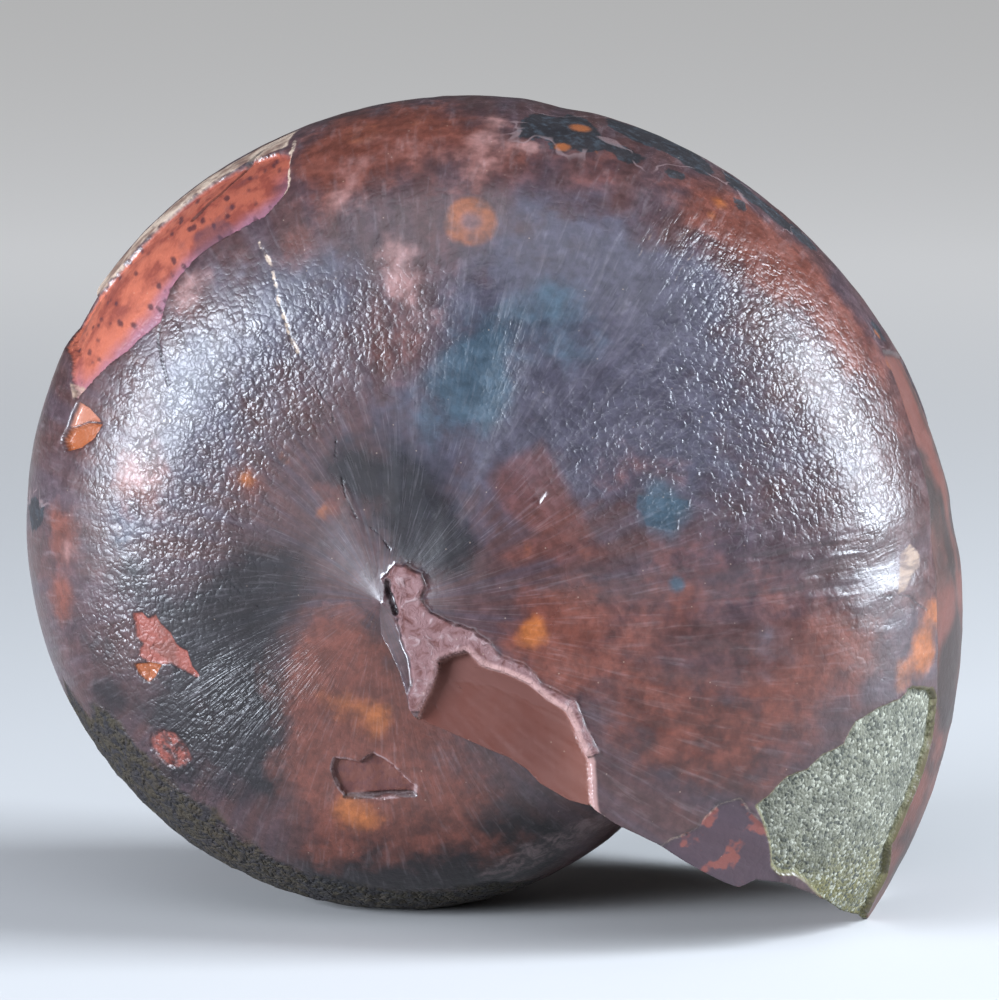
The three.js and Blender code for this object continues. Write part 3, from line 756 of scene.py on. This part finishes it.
def colourMarks(at, marks):
    # signed distances for markings that are only colour
    for name, outlines in markings.items():
        best = np.full(len(at["turn"]), -4.0)
        for i, pixels in enumerate(outlines):
            best = np.maximum(best, Outline(pixels=pixels, jitter=0.1, seed=60 + i).into(at))
        marks[name] = best
    for name, area in areas.items():
        marks[name] = Outline(**area).into(at)
    marks["rust"] = np.max([marks["redFlake"], marks["farFlake"], marks["farSpot"]], axis=0)
    marks["gold"] = np.maximum(marks["goldFlake"], marks["chipLower"])
    marks["black"] = np.maximum(marks["black"], marks["farBlack"])
    marks["paleLine"] = np.maximum(marks["whiteCrack"], marks["patchEnd"])
    # a pale crack, and painted glints along three raised growth lines
    marks["paleCrackAndGlint"] = np.max([marks[n] for n in (
        "palePieceCrack", "glintRidgeUpper", "glintRidgeMiddle", "glintRidgeLower")], axis=0)
    # dark cracks and scratches, with painted shade darkening the hub slit
    marks["darkCrackAndShade"] = np.max([marks[n] for n in (
        "shortCrack", "longCrack", "curvedScratch", "patchFold", "darkCrack", "hubSlit",
        "scarFoot")], axis=0)
    return marks


def tintAmounts(at):
    amounts = {}
    point = at["point"]
    push = np.stack([noise(point, 3.2, 80 + i) + 0.5 * noise(point, 1.2, 84 + i)
                     for i in range(3)], 1)
    near = smooth((1.16 - at["girth"]) / 0.1)
    for name, spots in tints.items():
        total = np.zeros(len(point))
        places = placeUnder([spot[0] for spot in spots])
        for (pixel, radius, amount), place in zip(spots, places):
            reach = radius / photo["pixelsPerMm"]
            away = np.linalg.norm(point + push * min(0.9, reach * 0.35)
                                  - skinPoint(place[0], place[1]), axis=1)
            total += amount * np.exp(-(away / reach) ** 2 * 0.9)
        # the far side has lumps of the same tints
        seed = 90 + list(tints).index(name)
        spread = noise(point, 11, seed) * 0.8 + noise(point, 4.5, seed + 20) * 0.5
        total = total * near + (1 - near) * smooth((spread - farLimits[name]) / 0.7)
        amounts[name] = np.clip(total, 0, 1)
    return amounts


def buildShell():
    places, triangles = refine(*netCoordinates())
    back, girth = places[:, 0], places[:, 1]
    edge = edgeTurn(girth)
    across = back > 360
    at = lookAt(edge + np.minimum(back, 360), girth, np.minimum(back, 360))
    marks = colourMarks(at, readMarks(at))
    normal = skinNormal(at["turn"], girth)
    points = at["point"] + normal * relief(at, marks)[:, None]
    # the mouth: from the older whorl out to the broken edge, hollowed into the sandy stone
    if across.any():
        ends = []
        for turn, along in ((edge[across] + 360, 360.0), (edge[across], 0.0)):
            end = lookAt(turn, girth[across], np.full(across.sum(), along))
            lift = relief(end, colourMarks(end, readMarks(end)))
            ends.append(end["point"] + skinNormal(turn, girth[across]) * lift[:, None])
        share = ((back[across] - 360) / mouth["span"])[:, None]
        inner, outer = ends
        flat = inner + (outer - inner) * share
        room = np.linalg.norm(outer - inner, axis=1)
        inwards = unit(skinPoint(edge[across] + mouth["ahead"], girth[across])
                       - skinPoint(edge[across], girth[across]))
        fromRim = room * (1 - share[:, 0])
        lip = smooth((fromRim - mouth["lip"]) / mouth["lipRise"]) * mouth["inset"]
        dome = np.sin(share[:, 0] * math.pi) * np.clip(room / mouth["hollowRoom"], 0, 1)
        depth = dome * (mouth["hollow"] + mouth["bump"] * lumps(flat, mouth["lumps"]))
        depth += lip * np.clip(room / mouth["lipRoom"], 0, 1)
        points[across] = flat + inwards * depth[:, None]
    points[:, 2] = np.maximum(points[:, 2], 0.0)

    mesh = bpy.data.meshes.new("ammoniteShell")
    mesh.vertices.add(len(points))
    mesh.vertices.foreach_set("co", (points * mm).astype(np.float32).ravel())
    mesh.loops.add(len(triangles) * 3)
    mesh.loops.foreach_set("vertex_index", triangles.astype(np.int32).ravel())
    mesh.polygons.add(len(triangles))
    mesh.polygons.foreach_set("loop_start", np.arange(0, len(triangles) * 3, 3, dtype=np.int32))
    mesh.polygons.foreach_set("loop_total", np.full(len(triangles), 3, dtype=np.int32))
    onMouth = across[triangles].any(1)
    mesh.polygons.foreach_set("material_index", onMouth.astype(np.int32))
    mesh.update(calc_edges=True)
    mesh.validate()
    mesh.polygons.foreach_set("use_smooth", np.ones(len(mesh.polygons), bool))
    kept = {name: marks[name] for name in (
        "recess", "crust", "stone", "dots", "scar", "chipUpper", "gold", "rust", "black", "pale",
        "brown", "purplePiece", "paleLine", "darkCrackAndShade", "grit", "streak", "tealPatch", "farStone",
        "band", "cream", "ring", "redSpot", "paleCrackAndGlint")}
    kept.update(tintAmounts(at))
    kept["along"] = leaning(at["turn"], girth)
    kept["girth"] = girth
    for name, values in kept.items():
        layer = mesh.attributes.new(name, "FLOAT", "POINT")
        layer.data.foreach_set("value", np.asarray(values, np.float32))
    made = bpy.data.objects.new("fossilShell", mesh)
    bpy.context.scene.collection.objects.link(made)
    print("stage: shell,", len(triangles), "triangles")
    return made


# Patterns in the surface: size in mm, layers, roughness, twist
patterns = {
    "streaks": (1.0, 3.0, 0.6, 0.5), "wideStreaks": (4.5, 2.0, 0.55, 0.0),
    "cloud": (6.0, 3.0, 0.55, 0.4), "blotch": (1.8, 3.0, 0.6, 0.0),
    "speckle": (0.6, 3.0, 0.6, 0.0), "wobble": (0.9, 2.0, 0.55, 0.0),
    "pebble": (0.5, 2.0, 0.5, 0.0), "crust": (0.8, 4.0, 0.62, 0.6),
    "sandCloud": (2.2, 4.0, 0.55, 0.0), "sandFine": (0.18, 3.0, 0.55, 0.0),
    "mouthCloud": (4.0, 4.0, 0.55, 0.0),
}

# How the outline of each marking frays: raggedness and softness in mm, and the pattern
frays = {
    "brown": (0.5, 0.5, "blotch"), "tealPatch": (0.15, 0.1, "speckle"),
    "black": (0.45, 0.1, "speckle"), "purplePiece": (0.08, 0.08, "speckle"),
    "rust": (0.15, 0.08, "speckle"), "redSpot": (0.3, 0.2, "blotch"),
    "gold": (0.04, 0.06, "speckle"), "chipUpper": (0.04, 0.06, "speckle"),
    "band": (0.2, 0.2, "blotch"), "dots": (0.06, 0.06, "speckle"),
    "cream": (0.12, 0.1, "speckle"), "scar": (0.1, 0.08, "speckle"),
    "grit": (1.2, 0.5, "blotch"), "streak": (0.5, 0.3, "speckle"),
    "crust": (0.3, 0.15, "speckle"), "recess": (0.02, 0.05, "speckle"),
    "pale": (0.2, 0.12, "speckle"), "paleLine": (0.2, 0.06, "speckle"),
    "paleCrackAndGlint": (0.1, 0.06, "speckle"), "darkCrackAndShade": (0.05, 0.06, "speckle"),
}

# How strongly each tint covers, in the order they are laid
covers = (("coolAndSheen", 0.9), ("darkAndShade", 0.9), ("warm", 0.95), ("teal", 0.85), ("pink", 0.85),
          ("orange", 0.9))

# Where the polish is gone or at its best, the painted highlight in the streaks, and the bump
wear = {"roughness": 0.85, "mirror": 0.24, "streakPaintedGlint": (0.3, 0.27, 0.29, 1),
        "bumpStrength": 0.9, "bumpDistance": 0.001}


def addNode(tree, kind, inputs=None, **settings):
    made = tree.nodes.new("ShaderNode" + kind)
    made.location = (200 * (len(tree.nodes) % 12), -220 * (len(tree.nodes) // 12))
    for name, value in settings.items():
        setattr(made, name, value)
    for key, value in (inputs or {}).items():
        if isinstance(value, bpy.types.NodeSocket):
            tree.links.new(value, made.inputs[key])
        else:
            made.inputs[key].default_value = value
    return made


def calculate(tree, operation, a, b=0.0):
    return addNode(tree, "Math", {0: a, 1: b}, operation=operation).outputs[0]


def ramp(tree, value, low, high, start=0.0, end=1.0):
    return addNode(tree, "MapRange", {"Value": value, "From Min": low, "From Max": high,
                                      "To Min": start, "To Max": end},
                   interpolation_type="SMOOTHSTEP").outputs[0]


def mixNumber(tree, amount, below, above):
    return addNode(tree, "Mix", {0: amount, 2: below, 3: above}).outputs[0]


def mixColour(tree, amount, below, above, blend="MIX"):
    # a colour is given as a socket, as a value or by its name in finish
    below, above = (linear(c) if isinstance(c, str) else c for c in (below, above))
    return addNode(tree, "Mix", {0: amount, 6: below, 7: above}, data_type="RGBA",
                   blend_type=blend).outputs[2]


def linear(name):
    channels = [c / 255 for c in finish[name]]
    channels = [((c + 0.055) / 1.055) ** 2.4 if c > 0.04 else c / 12.92 for c in channels]
    return tuple(c * finish["depth"] for c in channels) + (1,)


def mark(tree, name):
    return addNode(tree, "Attribute", attribute_name=name).outputs["Fac"]


def newGroup(name, inputs, outputs):
    group = bpy.data.node_groups.new(name, "ShaderNodeTree")
    for label, kind, value in inputs:
        group.interface.new_socket(label, in_out="INPUT", socket_type=kind).default_value = value
    for label, kind in outputs:
        group.interface.new_socket(label, in_out="OUTPUT", socket_type=kind)
    return group, group.nodes.new("NodeGroupInput"), group.nodes.new("NodeGroupOutput")


def use(tree, group, values):
    return addNode(tree, "Group", values, node_tree=group)


def millimetres(tree):
    place = addNode(tree, "TexCoord").outputs["Object"]
    return addNode(tree, "VectorMath", {0: place, "Scale": 1 / mm}, operation="SCALE").outputs[0]


def grain(tree, vector, name, out="Fac"):
    size, layers, rough, twist = patterns[name]
    return addNode(tree, "TexNoise", {
        "Vector": vector, "Scale": 1 / size, "Detail": layers, "Roughness": rough,
        "Distortion": twist}).outputs[out]


def raggedEdgeGroup():
    # turns a signed distance in mm into a mask with a naturally broken edge
    group, inside, outside = newGroup("raggedEdge", [
        ("Distance", "NodeSocketFloat", 0.0), ("Noise", "NodeSocketFloat", 0.5),
        ("Raggedness", "NodeSocketFloat", 0.15), ("Softness", "NodeSocketFloat", 0.06)],
        [("Mask", "NodeSocketFloat")])
    push = calculate(group, "SUBTRACT", inside.outputs["Noise"], 0.5)
    push = calculate(group, "MULTIPLY", calculate(group, "MULTIPLY", push, 2.0),
                     inside.outputs["Raggedness"])
    total = calculate(group, "ADD", push, inside.outputs["Distance"])
    share = calculate(group, "DIVIDE", total, inside.outputs["Softness"])
    group.links.new(ramp(group, share, -1.0, 1.0), outside.inputs["Mask"])
    return group


def sandyStoneGroup():
    # grains of sand: colour and height
    group, inside, outside = newGroup("sandyStone", [
        ("Base", "NodeSocketColor", linear("stone")),
        ("Dark Grain", "NodeSocketColor", linear("grainDark")),
        ("Pale Grain", "NodeSocketColor", linear("grainPale")),
        ("Grain Size", "NodeSocketFloat", 0.3)],
        [("Color", "NodeSocketColor"), ("Height", "NodeSocketFloat")])
    where = millimetres(group)
    scale = calculate(group, "DIVIDE", 1.0, inside.outputs["Grain Size"])
    cells = addNode(group, "TexVoronoi", {"Vector": where, "Scale": scale})
    tone = addNode(group, "SeparateColor", {"Color": cells.outputs["Color"]})
    colour = mixColour(group, ramp(group, tone.outputs[0], 0.62, 0.95),
                       inside.outputs["Base"], inside.outputs["Pale Grain"])
    colour = mixColour(group, ramp(group, tone.outputs[1], 0.66, 0.95), colour,
                       inside.outputs["Dark Grain"])
    cloud = grain(group, where, "sandCloud")
    colour = mixColour(group, ramp(group, cloud, 0.4, 0.72, 0, 0.5), colour,
                       inside.outputs["Dark Grain"])
    height = calculate(group, "SUBTRACT", 1.0, cells.outputs["Distance"])
    height = calculate(group, "ADD", height, grain(group, where, "sandFine"))
    group.links.new(colour, outside.inputs["Color"])
    group.links.new(height, outside.inputs["Height"])
    return group


def newMaterial(name):
    material = bpy.data.materials.new(name)
    material.use_nodes = True
    material.node_tree.nodes.clear()
    return material, material.node_tree


def addSurface(tree, height, values):
    # the shader with its bump, joined to the material's output
    bump = addNode(tree, "Bump", {"Height": height, "Strength": wear["bumpStrength"],
                                  "Distance": wear["bumpDistance"]})
    shader = addNode(tree, "BsdfPrincipled", {**values, "Normal": bump.outputs[0]})
    addNode(tree, "OutputMaterial", {"Surface": shader.outputs[0]})


def shellMaterial(edges, sand):
    material, tree = newMaterial("polishedShell")
    where = millimetres(tree)
    axes = addNode(tree, "SeparateXYZ", {0: where})
    sideways, upwards = axes.outputs["X"], axes.outputs["Z"]

    along, girth = mark(tree, "along"), mark(tree, "girth")

    def share(mask, amount):
        return calculate(tree, "MULTIPLY", mask, amount)

    def plus(a, b):
        return calculate(tree, "ADD", a, b)

    def minus(a, b):
        return calculate(tree, "SUBTRACT", a, b)

    def onCoil(perTurn, perGirth):
        return addNode(tree, "CombineXYZ", {
            "X": share(along, perTurn), "Y": share(girth, perGirth)}).outputs[0]

    # growth lines follow the coil: a noise stretched across the whorl
    coil = onCoil(0.9, 14.0)
    streaks, wideStreaks = grain(tree, coil, "streaks"), grain(tree, coil, "wideStreaks")
    cloud, blotch = grain(tree, where, "cloud"), grain(tree, where, "blotch")
    speckle, crustNoise = grain(tree, where, "speckle"), grain(tree, where, "crust")
    wobble = addNode(tree, "VectorMath", {0: where, 1: grain(tree, where, "wobble", "Color")})
    domes = addNode(tree, "TexVoronoi", {
        "Vector": wobble.outputs[0], "Scale": 2.6}).outputs["Distance"]
    pebble = minus(grain(tree, where, "pebble"), share(domes, domes))

    def masked(name):
        ragged, soft, pattern = frays[name]
        return use(tree, edges, {
            "Distance": mark(tree, name), "Noise": blotch if pattern == "blotch" else speckle,
            "Raggedness": ragged, "Softness": soft}).outputs["Mask"]

    def lineAt(name, low, lowEnd, high, highEnd):
        # a band along an outline's edge, between two signed distances
        distance = mark(tree, name)
        return share(ramp(tree, distance, low, lowEnd),
                     minus(1.0, ramp(tree, distance, high, highEnd)))

    # the polished shell: broad tints first, each frayed by the cloud and the blotches
    fray = plus(minus(cloud, 0.5), share(minus(blotch, 0.5), 0.9))
    colour = mixColour(tree, ramp(tree, wideStreaks, 0.35, 0.7, 0, 0.4), "body", "coolAndSheen")

    def paint(amount, tone):
        nonlocal colour
        colour = mixColour(tree, amount, colour, tone)

    # the blue-grey tint also lays a painted bluish sheen, and the dark tint painted shade
    for name, cover in covers:
        amount = mark(tree, name)
        frayed = plus(amount, share(fray, ramp(tree, amount, 0.0, 0.3)))
        paint(share(ramp(tree, frayed, 0.22, 0.9), cover), name)
    paint(share(masked("brown"), 0.5), "warm")
    paint(share(lineAt("ring", -0.3, 0.2, 0.7, 1.3), ramp(tree, blotch, 0.3, 0.6, 0.2, 0.6)),
          "ember")
    paint(ramp(tree, mark(tree, "ring"), 0.5, 1.2, 0, 0.25), "pink")
    paint(share(masked("tealPatch"), 0.6), "teal")
    # painted highlight: the growth lines are lightened with a screen blend, as glints
    colour = mixColour(tree, ramp(tree, streaks, 0.5, 0.75, 0, 0.1), colour,
                       wear["streakPaintedGlint"], "SCREEN")
    shade = share(ramp(tree, speckle, 0.3, 0.7, 0.8, 1.2), ramp(tree, blotch, 0.3, 0.7, 0.82, 1.15))
    shadeColour = addNode(tree, "CombineColor", {0: shade, 1: shade, 2: shade})
    colour = mixColour(tree, 1.0, colour, shadeColour.outputs[0], "MULTIPLY")

    black = masked("black")
    blackTone = mixColour(tree, ramp(tree, speckle, 0.46, 0.7, 0, 0.7), "black", "slate")
    blackTone = mixColour(tree, ramp(tree, mark(tree, "orange"), 0.15, 0.5, 0, 0.85), blackTone,
                          "ember")
    paint(share(black, 0.92), blackTone)
    vein = calculate(tree, "ABSOLUTE", minus(cloud, 0.5))
    vein = share(ramp(tree, vein, 0.012, 0.004), lineAt("black", -1.2, -0.3, 0.1, 0.5))
    paint(share(vein, 0.35), "crustPale")
    paint(share(masked("purplePiece"), 0.8),
          mixColour(tree, ramp(tree, blotch, 0.54, 0.62, 0, 0.85), "plum", "rust"))
    rust = masked("rust")
    paint(rust, mixColour(tree, ramp(tree, blotch, 0.45, 0.65, 0, 0.7), "rust", "warm"))
    paint(share(masked("redSpot"), ramp(tree, speckle, 0.4, 0.62, 0.15, 0.85)), "rust")
    paint(masked("gold"), "gold")
    paint(masked("chipUpper"), "chip")
    # the venter band: its own darker brown deepened by painted shade, with a line of painted shade
    # along its step
    band = masked("band")
    paint(share(band, 0.88), mixColour(tree, ramp(tree, cloud, 0.4, 0.65), "band", "warm"))
    paint(share(lineAt("band", -0.25, 0.0, 0.1, 0.4), 0.5), "darkAndShade")

    # the dotted patch where the outer layer is lost, and the cream layer above it
    dots = masked("dots")
    redder = plus(ramp(tree, blotch, 0.4, 0.7), ramp(tree, along, 172, 158, 0, 0.4))
    patch = mixColour(tree, redder, "patch", "patchDeep")
    lilac = share(ramp(tree, plus(mark(tree, "dots"), share(fray, 2.0)), 1.7, 0.0),
                  ramp(tree, girth, 0.8, 0.7))
    patch = mixColour(tree, share(lilac, 0.65), patch, "patchBorder")
    cells = addNode(tree, "TexVoronoi", {
        "Vector": onCoil(0.62, 21.0), "Scale": 1.0, "Randomness": 0.95})
    fleck = plus(plus(cells.outputs["Distance"], share(speckle, 0.5)), share(blotch, 0.4))
    patch = mixColour(tree, ramp(tree, fleck, 0.8, 0.56, 0, 0.8), patch, "patchDots")
    smudge = share(ramp(tree, cloud, 0.5, 0.58), ramp(tree, along, 172, 160, 0, 0.6))
    patch = mixColour(tree, smudge, patch, "plum")
    paint(dots, patch)
    cream = masked("cream")
    paint(share(cream, ramp(tree, speckle, 0.34, 0.5, 0.55, 0.95)),
          mixColour(tree, ramp(tree, blotch, 0.35, 0.6), "creamDeep", "pale"))

    # the scar and the gritty crust under it
    scar = masked("scar")
    paint(scar, mixColour(tree, ramp(tree, speckle, 0.4, 0.6), "crustDeep", "warm"))
    paint(share(lineAt("scar", -0.22, -0.1, 0.0, 0.12), ramp(tree, speckle, 0.4, 0.6, 0.1, 0.8)),
          "crustPale")
    grit = masked("grit")
    paint(share(grit, 0.9), mixColour(tree, ramp(tree, crustNoise, 0.4, 0.6), "darkAndShade", "grit"))
    paint(share(masked("streak"), ramp(tree, crustNoise, 0.4, 0.65, 0.05, 0.4)), "crustPale")

    # crust, the smooth floor below it and the pale broken rim between them
    crust = masked("crust")
    crustTone = mixColour(tree, ramp(tree, crustNoise, 0.36, 0.5), "crustDeep", "crust")
    paint(crust, mixColour(tree, ramp(tree, crustNoise, 0.54, 0.7, 0, 0.8), crustTone,
                           "crustPale"))
    recess = masked("recess")
    floorTone = mixColour(tree, ramp(tree, sideways, 4.0, 12.0), "floor", "floorPale")
    paint(recess, mixColour(tree, ramp(tree, cloud, 0.4, 0.65, 0, 0.6), floorTone, "warm"))
    paint(share(lineAt("recess", -0.5, -0.25, 0.02, 0.12),
                ramp(tree, sideways, -1.0, 3.0, 0.15, 0.85)), "fracture")

    # sandy stone laid bare beside the mouth, yellower towards the tip
    stone = use(tree, edges, {
        "Distance": calculate(tree, "MAXIMUM", mark(tree, "stone"), mark(tree, "farStone")),
        "Noise": speckle, "Raggedness": 0.08, "Softness": 0.05}).outputs["Mask"]
    tip = ramp(tree, plus(upwards, share(fray, 3.0)), 8.5, 1.5)
    sandy = use(tree, sand, {
        "Base": mixColour(tree, tip, "stone", "stoneTip"), "Dark Grain": linear("grainDark"),
        "Pale Grain": linear("grainPale"), "Grain Size": 0.2})
    paint(stone, sandy.outputs["Color"])
    stoneEdge = calculate(tree, "MAXIMUM", *(lineAt(n, -0.2, -0.1, 0.05, 0.2)
                                             for n in ("stone", "farStone")))
    paint(share(stoneEdge, 0.6), "stoneTip")

    pale = masked("pale")
    paint(share(pale, ramp(tree, streaks, 0.4, 0.6, 0.3, 0.85)), "beige")
    paint(share(masked("paleLine"), ramp(tree, speckle, 0.4, 0.55, 0.1, 0.9)), "pale")
    # a faint pale crack, and painted glints along three raised growth lines
    paint(share(masked("paleCrackAndGlint"), 0.3), "pale")
    # dark cracks and scratches, and painted shade in the hub slit
    paint(share(masked("darkCrackAndShade"), 0.6), "darkAndShade")
    dust = addNode(tree, "TexVoronoi", {"Vector": where, "Scale": 0.9})
    paint(ramp(tree, dust.outputs["Distance"], 0.06, 0.03, 0, 0.3), "pale")

    # where the polish is gone
    dull = share(crust, 0.8)
    for other, amount in ((stone, 1.0), (grit, 0.9), (scar, 0.5), (dots, 0.1), (recess, 0.2),
                          (rust, 0.3), (black, 0.3), (pale, 0.4), (cream, 0.4), (band, 0.35)):
        dull = calculate(tree, "MAXIMUM", dull, share(other, amount))
    roughness = ramp(tree, blotch, 0.3, 0.75, finish["roughness"] - 0.06,
                     finish["roughness"] + 0.1)
    roughness = mixNumber(tree, mark(tree, "smooth"), roughness, wear["mirror"])
    roughness = mixNumber(tree, dull, roughness, wear["roughness"])

    # relief too fine for the mesh: leathery pebbles and growth lines, coarser where it is rough
    pebbled = ramp(tree, mark(tree, "pebbled"), 0.0, 1.0, 0.02, 0.12)
    combed = ramp(tree, mark(tree, "combed"), 0.0, 1.0, 0.02, 0.2)
    hub = ramp(tree, calculate(tree, "ABSOLUTE", minus(girth, 1.0)), 0.92, 0.6)
    calm = minus(1.0, share(mark(tree, "smooth"), 0.8))
    height = share(plus(share(pebble, pebbled), share(share(streaks, combed), hub)), calm)
    for name, low, high, pattern, amount in (("crust", -0.1, 0.1, crustNoise, 0.35),
                                             ("recess", -0.05, 0.05, blotch, 0.02),
                                             ("grit", -0.4, 0.8, pebble, 0.3)):
        height = mixNumber(tree, ramp(tree, mark(tree, name), low, high), height,
                           share(pattern, amount))
    height = mixNumber(tree, stone, height, share(sandy.outputs["Height"], 0.07))
    addSurface(tree, height, {
        "Base Color": colour, "Roughness": roughness,
        "Coat Weight": ramp(tree, dull, 0.0, 0.8, finish["coat"], 0.0),
        "Coat Roughness": finish["coatRoughness"], "IOR": finish["ior"]})
    return material


def mouthMaterial(sand):
    material, tree = newMaterial("sandyMouth")
    where = millimetres(tree)
    cloud = grain(tree, where, "mouthCloud")
    sandy = use(tree, sand, {
        "Base": mixColour(tree, ramp(tree, cloud, 0.4, 0.65), "mouth", "grit"),
        "Dark Grain": linear("crustDeep"), "Pale Grain": linear("stone"), "Grain Size": 0.35})
    addSurface(tree, calculate(tree, "MULTIPLY", sandy.outputs["Height"], 0.1), {
        "Base Color": sandy.outputs["Color"],
        "Roughness": ramp(tree, cloud, 0.3, 0.7, 0.75, 0.95)})
    return material


# Studio: directions in degrees, azimuth from the shell's near side towards +X
studio = {
    "floorTone": (0.5, 0.495, 0.49, 1), "floorRoughness": 0.7, "floorRadius": 4.0,
    "paleFrom": 0.05, "paleTo": 0.6, "farGlow": 0.4,  # keeps the floor pale far behind
    "world": (0.62, 0.64, 0.68, 1), "worldStrength": 0.1,
    "lamps": {
        "rightSoftbox": {"azimuth": 87, "elevation": 22, "distance": 0.42, "size": (0.17, 0.25),
                         "power": 5.2, "tone": (0.8, 0.89, 1.0)},
        "leftSoftbox": {"azimuth": -51, "elevation": 11, "distance": 0.45, "size": (0.2, 0.2),
                        "power": 5.2, "tone": (0.8, 0.88, 1.0)},
        "overheadSoftbox": {"azimuth": -2, "elevation": 54, "distance": 1.6, "size": (1.6, 1.1),
                            "power": 12.0, "tone": (0.84, 0.9, 1.0)},
    },
}


def buildStudio():
    disc = bmesh.new()
    bmesh.ops.create_circle(disc, cap_ends=True, segments=96, radius=studio["floorRadius"])
    mesh = bpy.data.meshes.new("studioFloor")
    disc.to_mesh(mesh)
    disc.free()
    floor = bpy.data.objects.new("studioFloor", mesh)
    bpy.context.scene.collection.objects.link(floor)
    material = bpy.data.materials.new("paleFloor")
    material.use_nodes = True
    tree = material.node_tree
    shader = tree.nodes["Principled BSDF"]
    shader.inputs["Base Color"].default_value = studio["floorTone"]
    shader.inputs["Roughness"].default_value = studio["floorRoughness"]
    place = addNode(tree, "TexCoord").outputs["Object"]
    away = addNode(tree, "SeparateXYZ", {0: place}).outputs["Y"]
    glow = ramp(tree, away, studio["paleFrom"], studio["paleTo"], 0.0, studio["farGlow"])
    shine = addNode(tree, "CombineColor", {0: glow, 1: glow, 2: glow})
    tree.links.new(shine.outputs[0], shader.inputs["Emission Color"])
    shader.inputs["Emission Strength"].default_value = 1.0
    mesh.materials.append(material)

    world = bpy.data.worlds.new("studioAir")
    bpy.context.scene.world = world
    world.use_nodes = True
    air = world.node_tree.nodes["Background"]
    air.inputs["Color"].default_value = studio["world"]
    air.inputs["Strength"].default_value = studio["worldStrength"]

    middle = np.array(shell["coilCentre"]) * mm
    for name, lamp in studio["lamps"].items():
        data = bpy.data.lights.new(name, "AREA")
        data.shape = "RECTANGLE"
        data.size, data.size_y = lamp["size"]
        data.energy = lamp["power"]
        data.color = lamp["tone"]
        a, e = math.radians(lamp["azimuth"]), math.radians(lamp["elevation"])
        away = np.array([math.sin(a) * math.cos(e), -math.cos(a) * math.cos(e), math.sin(e)])
        thing = bpy.data.objects.new(name, data)
        bpy.context.scene.collection.objects.link(thing)
        thing.location = middle + away * lamp["distance"]
        thing.rotation_euler = aim(away)


def aim(back):
    return Vector(back).to_track_quat("Z", "Y").to_euler()


def buildCamera():
    back, right, up = viewAxes()
    middleX, middleY = photo["frame"][0] / 2, photo["frame"][1] / 2
    sideways = (middleX - photo["coilAt"][0]) / photo["pixelsPerMm"]
    upwards = (photo["coilAt"][1] - middleY) / photo["pixelsPerMm"]
    data = bpy.data.cameras.new("photoCamera")
    data.sensor_width = photo["sensor"]
    data.lens = photo["sensor"] * photo["distance"] * photo["pixelsPerMm"] / max(photo["frame"])
    data.clip_start, data.clip_end = 0.01, 20
    camera = bpy.data.objects.new("photoCamera", data)
    bpy.context.scene.collection.objects.link(camera)
    place = np.array(shell["coilCentre"]) + back * photo["distance"]
    camera.location = (place + right * sideways + up * upwards) * mm
    camera.rotation_euler = aim(back)
    bpy.context.scene.camera = camera


buildCamera()
buildStudio()
bpy.context.scene.view_settings.view_transform = "Standard"
print("stage: studio")
fossil = buildShell()
edges, sand = raggedEdgeGroup(), sandyStoneGroup()
fossil.data.materials.append(shellMaterial(edges, sand))
fossil.data.materials.append(mouthMaterial(sand))
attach(fossil, "root")
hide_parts("ammonite")
print("stage: materials")
